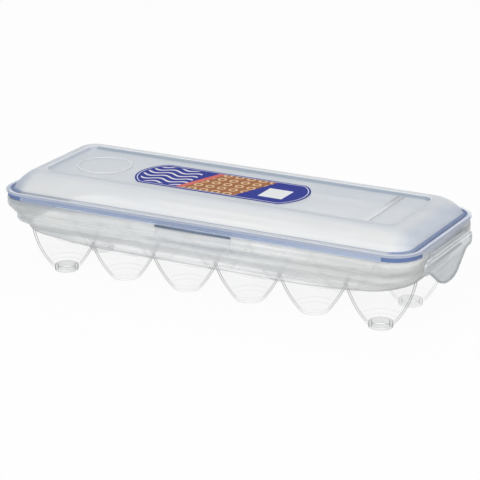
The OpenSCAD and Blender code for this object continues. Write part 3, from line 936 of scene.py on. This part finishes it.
# %% Panel ribs and ring
ring_box, rib_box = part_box("lid_round_ring"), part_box("lid_cross_rib")
ring_low, ring_high = (v / MM for v in ring_box)
ring_cx, ring_r = (ring_low.x + ring_high.x) / 2, (ring_high.x - ring_low.x) / 2
RING_W, RIB_W, RIB_BASE, ON_PANEL = 1.2, 1.0, 0.3, PANEL_Z + 0.01
ring_in = ring_r - RING_W
ring_profile = [(ring_r, ON_PANEL), (ring_r, ring_high.z), (ring_in, ring_high.z), (ring_in, ON_PANEL)]
ring_profile = rounded(ring_profile, 0.35, 3, looped=True)
panel_ring = join("panel_ring", [lathe(ring_profile, ring_cx, 0.0)])
rib_low, rib_high = (v / MM for v in rib_box)
rib_y = (rib_low.y, rib_high.y)
left_rib, right_rib = rib_low.x + RIB_W, rib_high.x - RIB_W
rib_parts = [
    bar(rib_low.x, left_rib, *rib_y, ON_PANEL, rib_high.z, 0.3),
    bar(right_rib, rib_high.x, *rib_y, ON_PANEL, rib_high.z, 0.3),
    bar(left_rib, right_rib, *rib_y, ON_PANEL, PANEL_Z + RIB_BASE, 0.1),
]
panel_ribs = join("panel_ribs", rib_parts)
print("ring radius", round(ring_r, 2), "mm, ribs", round(rib_high.y - rib_low.y, 1), "mm long")

# %% [markdown]
# A flap is a thin sheet that hangs from its hinge line, with a rounded rim
# that the finger finds. The two end flaps widen below the hinge and end in a
# tapered tongue. Each row of the sheet is as wide as the outline is there,
# Solidify gives it its wall, and a geometry tree sweeps a small circle along
# the outline for the rim.

# %% Flap rim tree
RIM_R = 0.8
rim_tree = bpy.data.node_groups.new("flap_rim", "GeometryNodeTree")
rim_tree.interface.new_socket("Geometry", in_out="INPUT", socket_type="NodeSocketGeometry")
rim_tree.interface.new_socket("Geometry", in_out="OUTPUT", socket_type="NodeSocketGeometry")
rim_radius = number_input(rim_tree, "Rim radius", RIM_R * MM)
rim_finish = rim_tree.interface.new_socket(
    "Finish", in_out="INPUT", socket_type="NodeSocketMaterial"
).identifier
g = Recipe(rim_tree)
given = g.add("NodeGroupInput", out="Rim radius")
path = g.add("GeometryNodeMeshToCurve", {"Mesh": given.out("Geometry")})
circle = g.add("GeometryNodeCurvePrimitiveCircle", {"Resolution": 10, "Radius": given})
swept = g.add(
    "GeometryNodeCurveToMesh",
    {"Curve": path, "Profile Curve": circle, "Fill Caps": True},
)
swept = g.add("GeometryNodeRealizeInstances", {0: swept})
swept = g.add(
    "GeometryNodeSetMaterial", {"Geometry": swept, "Material": given.out("Finish")}
)
g.add("NodeGroupOutput", {0: swept})
print("flap rim tree has", len(rim_tree.nodes), "nodes")

# %% Flap outlines


def flap_outline(half):
    """Points from the right end of the hinge line round the flap to the left"""
    other = [(-x, v, reach) for x, v, reach in reversed(half)]
    corners = half + other
    return rounded([c[:2] for c in corners], [c[2] for c in corners], 7)


HALF_W, WIDE_HALF, TONGUE_HALF, TIP_HALF = FLAP_W / 2, 39.5, 31.0, 11.0
SIDE_DROP, END_DROP, ROUND_BY, TIP_ROUND = 12.5, 27.0, 4.0, 9.0
# Half width, drop below the hinge line, and reach of the rounding
SIDE_FLAP = flap_outline([(HALF_W, 0.0, 0), (HALF_W, SIDE_DROP, ROUND_BY)])
END_FLAP = flap_outline(
    [
        (HALF_W, 0.0, 0),
        (HALF_W, 0.8, 0),
        (WIDE_HALF, 4.0, ROUND_BY),
        (WIDE_HALF, SIDE_DROP, ROUND_BY),
        (TONGUE_HALF, SIDE_DROP, ROUND_BY),
        (TIP_HALF, END_DROP, TIP_ROUND),
    ]
)
print("outline points", len(SIDE_FLAP), "and", len(END_FLAP))

# %% Flaps
BEAD_DROP, BEAD_END, BEAD_HALF = 8.6, 4.0, 0.8


def reach_out(v, drop, lip_out):
    """How far the finger lip stands out at a distance v below the hinge"""
    return lip_out * max(0.0, (v - drop * 2 / 3) / (drop / 3)) ** 1.5


def flap_sheet(edge, drop, lip_out, columns=24):
    """Sheet made of level rows, each as wide as the outline"""
    rows, v = [], -1.0
    for p in edge[: len(edge) // 2]:
        v = max(p.y, v + 0.03)
        y = -reach_out(v, drop, lip_out)
        rows.append([(p.x * (2 * i / columns - 1), y, -v) for i in range(columns + 1)])
    m = columns + 1
    faces = [
        (j * m + i, (j + 1) * m + i, (j + 1) * m + i + 1, j * m + i + 1)
        for j in range(len(rows) - 1) for i in range(columns)
    ]
    return [p for row in rows for p in row], faces


def inner_path(edge, drop, lip_out):
    """The outline, moved inwards by the radius of the rim"""
    path = []
    for i, p in enumerate(edge):
        along = edge[min(i + 1, len(edge) - 1)] - edge[max(i - 1, 0)]
        if along.length < 1e-6:
            continue
        side = Vector((-along.y, along.x)).normalized() * RIM_R
        q = p + side
        path.append((q.x, -reach_out(p.y, drop, lip_out), -max(0.0, q.y)))
    return path


def make_flap(name, edge, lip_out, bead, finish, hinge_finish, where_to, body, node):
    """One flap with its hinge barrel, latch bead and rim, set in its place"""
    drop = max(p.y for p in edge)
    plate = mesh_object(name, *flap_sheet(edge, drop, lip_out))
    wall = plate.modifiers.new("wall", "SOLIDIFY")
    wall.thickness = (FLAP_T - 0.4) * MM
    wall.offset = 0.0
    apply_modifiers(plate)

    path = inner_path(edge, drop, lip_out)
    rim = mesh_object(name + "_rim", path, [], [(i, i + 1) for i in range(len(path) - 1)])
    sweep = rim.modifiers.new("rim", "NODES")
    sweep.node_group = rim_tree
    sweep[rim_radius] = RIM_R * MM
    sweep[rim_finish] = finish
    apply_modifiers(rim)

    round_edge = [math.tau * i / 16 for i in range(16)]
    barrel = [
        [(x, RIM_R * math.cos(a), RIM_R * math.sin(a)) for a in round_edge]
        for x in (-HALF_W, HALF_W)
    ]
    latch = bar(
        BEAD_END - HALF_W, HALF_W - BEAD_END, FLAP_T / 2 - 0.3, FLAP_T / 2 + bead,
        -BEAD_DROP - BEAD_HALF, -BEAD_DROP + BEAD_HALF, 0.35,
    )
    latch = join(name + "_latch", [latch])
    barrel = join(name + "_barrel", [skin(barrel, start_cap=True, end_cap=True)])

    bm = bmesh.new()
    for part in (plate, rim, latch, barrel):
        count = len(bm.faces)
        bm.from_mesh(part.data)
        bm.faces.ensure_lookup_table()
        for f in bm.faces[count:]:
            f.smooth = True
            f.material_index = 1 if part is barrel else 0
    for part in (rim, latch, barrel):
        bpy.data.objects.remove(part)
    bm.transform(where_to)
    plate.data.materials.clear()
    plate.data.materials.append(finish)
    plate.data.materials.append(hinge_finish)
    bm.to_mesh(plate.data)
    bm.free()
    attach(plate, body)
    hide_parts(node)
    print(name, triangles(plate), "triangles")


def set_at(x, y, quarter_turns):
    turn_about = Matrix.Rotation(math.radians(90 * quarter_turns), 4, "Z")
    return Matrix.Translation(Vector((x, y, HINGE_Z)) * MM) @ turn_about


# The thin hinge of the long sides is dark blue: partly the seal's blue, and partly painted shade for the
# slit under the skirt
blue_hinge_and_shade = plain_plastic("blue_hinge_and_shade", "7888a0", "68788f", 0.85, 0.95, 0.3, 0.1)
front_at, rear_at = set_at(0, -HINGE_Y, 0), set_at(0, HINGE_Y, 2)
left_at, right_at = set_at(-HINGE_X, 0, -1), set_at(HINGE_X, 0, 1)
make_flap(
    "front_flap_panel", SIDE_FLAP, 0.0, 1.0, clear_flap, blue_hinge_and_shade, front_at, "front_flap", "front_flap"
)
make_flap(
    "rear_flap_panel", SIDE_FLAP, 0.0, 1.17, clear_flap, blue_hinge_and_shade, rear_at, "tray", "rear_hinge_flap"
)
make_flap(
    "left_flap_panel", END_FLAP, 1.0, 1.0, milky_flap, milky_flap, left_at, "left_flap", "left_flap"
)
make_flap(
    "right_flap_panel", END_FLAP, 1.0, 1.0, milky_flap, milky_flap, right_at, "right_flap", "right_flap"
)

# %% [markdown]
# A thin paper label lies on the panel. Its print is a plain design of its
# own in blue, coral, brown and white: waves on the left, a warm field of
# rings in the middle, and an empty white patch. All of it is drawn by
# formulas on the object's own coordinates.

# %% Label print
LABEL_X, LABEL_L, LABEL_W, LABEL_BULGE = -10.0, 130.0, 45.0, 11.0


def label_print():
    material, r = blank_material("label_print")
    place = r.add("ShaderNodeTexCoord", out="Object")
    in_mm = {"Vector": place, "Location": (-LABEL_X, 0.0, 0.0), "Scale": (1 / MM,) * 3}
    centred = r.add("ShaderNodeMapping", in_mm)
    x = r.split(centred, "X")
    y = x.out("Y")
    end_r = (LABEL_W**2 / 4 + LABEL_BULGE**2) / (2 * LABEL_BULGE)
    end_x = LABEL_L / 2 - end_r
    from_end = end_r - ((abs(x) - end_x).most(0.0) ** 2.0 + y * y) ** 0.5
    from_side = LABEL_W / 2 - abs(y)
    inside = from_end.least(from_side)
    line = abs(inside - 1.7).below(0.35)
    field = shade("1b2b90")
    # Waves on the left
    wave = (x * 0.32).math("SINE") * 2.2 + y
    stripe = abs((wave / 7.0 + 50.0).math("FRACT") - 0.5).below(0.16, 0.05)
    left_zone = (x + 22.0).below(0.0) * inside.math("GREATER_THAN", 4.2)
    # Warm field of rings in the middle, on a slant
    slant = x - y * 0.35
    warm_zone = abs(slant - 6.0).below(20.0) * inside.math("GREATER_THAN", 2.6)
    coral_zone = abs(slant + 16.5).below(2.4) * inside.math("GREATER_THAN", 2.6)
    cell_x = (x / 9.0 + 50.0).math("FRACT") - 0.5
    cell_y = (y / 9.0 + 50.5).math("FRACT") - 0.5
    spread = (cell_x * cell_x + cell_y * cell_y) ** 0.5
    rings = abs(spread - 0.28).below(0.08, 0.04)
    # White patch on the right
    patch = (abs(x - 43.0) - 9.0).most(abs(y + 3.0) - 9.5).below(0.0)
    colour = r.mix(left_zone * stripe, field, shade("e8e4ee"))
    colour = r.mix(warm_zone, colour, shade("a5683e"))
    colour = r.mix(warm_zone * rings, colour, shade("eac79a"))
    colour = r.mix(coral_zone, colour, shade("dc6f62"))
    colour = r.mix(patch, colour, shade("f4f4f4"))
    colour = r.mix(line, colour, shade("dfe2f0"))
    fibre = r.add("ShaderNodeTexNoise", {"Vector": place, "Scale": 900.0, "Detail": 3.0})
    colour = r.mix(fibre * 0.012, colour, shade("ffffff"))
    r.principled(colour, 0.4 + fibre * 0.1, (0.1, 0.00005, fibre), {"Specular IOR Level": 0.05})
    return material


label_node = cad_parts["lid_label"]
label_node.data.materials.clear()
label_node.data.materials.append(label_print())

# %% [markdown]
# Each piece now gets its material, rides on the body that carries it and
# stands for its solid.

# %% Places on the bodies
CUP_NODES = [f"cup_{side}_{i}" for side in ("front", "rear") for i in range(1, 7)]
for piece, finish, body, slot, nodes in (
    (tray_side, frosted, "tray", "frosted_plastic", ["tray_wall"]),
    (cup_tray, clear_cup, "tray", "clear_cup_plastic", CUP_NODES),
    (feet, foot_plastic, "tray", "clear_cup_plastic", []),
    (lid_shell, lid_plastic, "lid", "lid_plastic", ["lid_dome"]),
    (lid_channel, tinted_wall, "lid", "lid_plastic", ["lid_rim"]),
    (lid_skirts, clear_skirt, "lid", "lid_plastic", []),
    (lid_end_skirts, milky_skirt, "lid", "lid_plastic", []),
    (panel_ring, pale_moulding, "lid", "lid_plastic", ["lid_round_ring"]),
    (panel_ribs, pale_moulding, "lid", "lid_plastic", ["lid_cross_rib"]),
    (seal, blue_silicone, "lid", "blue_silicone", ["seal_ring"]),
):
    piece.data.materials.clear()
    piece.data.materials.append(finish)
    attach(piece, body)
    if nodes:
        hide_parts(*nodes)

# %% [markdown]
# The keeper stands on a plain white floor under soft studio light. To the
# camera the floor is partly its own white, so the background stays even and
# the soft shadow still shows.

# %% Floor, light and world
FLOOR_HALF, FLOOR_Z = 6.0 / MM, -0.05
SKY_STRENGTH, FLOOR_OWN_WHITE = 0.42, 0.95
AIM = Vector((0.0, 0.0, 0.04))


def seen_by_camera(recipe):
    """1 for a ray from the camera, straight, mirrored or bent"""
    kind = recipe.add("ShaderNodeLightPath", out="Is Camera Ray")
    return kind.most(kind.out("Is Glossy Ray")).most(kind.out("Is Transmission Ray"))


floor_corners = ((-1, -1), (1, -1), (1, 1), (-1, 1))
floor_points = [(sx * FLOOR_HALF, sy * FLOOR_HALF, FLOOR_Z) for sx, sy in floor_corners]
floor = mesh_object("floor", floor_points, [(0, 1, 2, 3)])
floor_paint, r = blank_material("white_floor")
lit = r.add("ShaderNodeBsdfDiffuse", {"Color": (0.9, 0.9, 0.9, 1.0)})
plain = r.add("ShaderNodeEmission", {"Color": (1.0, 1.0, 1.0, 1.0), "Strength": 1.0})
floor_mix = r.add("ShaderNodeMixShader", {0: seen_by_camera(r) * FLOOR_OWN_WHITE, 1: lit, 2: plain})
r.add("ShaderNodeOutputMaterial", {"Surface": floor_mix})
floor.data.materials.append(floor_paint)

world = bpy.data.worlds.new("studio")
bpy.context.scene.world = world
world.use_nodes = True
world.node_tree.nodes.clear()
r = Recipe(world.node_tree)
sky_colours = {"Color": (0.95, 0.975, 1.0, 1.0), "Strength": SKY_STRENGTH}
soft_sky = r.add("ShaderNodeBackground", sky_colours)
white_sky = r.add("ShaderNodeBackground", {"Color": (1.0, 1.0, 1.0, 1.0), "Strength": 1.0})
sky = r.add("ShaderNodeMixShader", {0: seen_by_camera(r), 1: soft_sky, 2: white_sky})
r.add("ShaderNodeOutputWorld", {"Surface": sky})


def softbox(name, place, size, power):
    lamp = bpy.data.lights.new(name, "AREA")
    lamp.shape, lamp.size, lamp.energy = "DISK", size, power
    holder = bpy.data.objects.new(name, lamp)
    holder.location = place
    holder.rotation_mode = "QUATERNION"
    holder.rotation_quaternion = (AIM - Vector(place)).to_track_quat("-Z", "Y")
    bpy.context.scene.collection.objects.link(holder)


softbox("key", (0.5, -2.3, 1.7), 1.5, 42.0)
softbox("fill", (1.8, -0.8, 1.2), 1.4, 5.0)
softbox("top", (0.0, 0.4, 2.0), 1.6, 5.0)

# %% [markdown]
# Many thin veils lie behind each other here, more than the eight that a ray
# passes by default, so the limit is raised. The view stays plain.

# %% Finish
bpy.context.scene.cycles.transparent_max_bounces = 48
bpy.context.scene.view_settings.view_transform = "Standard"
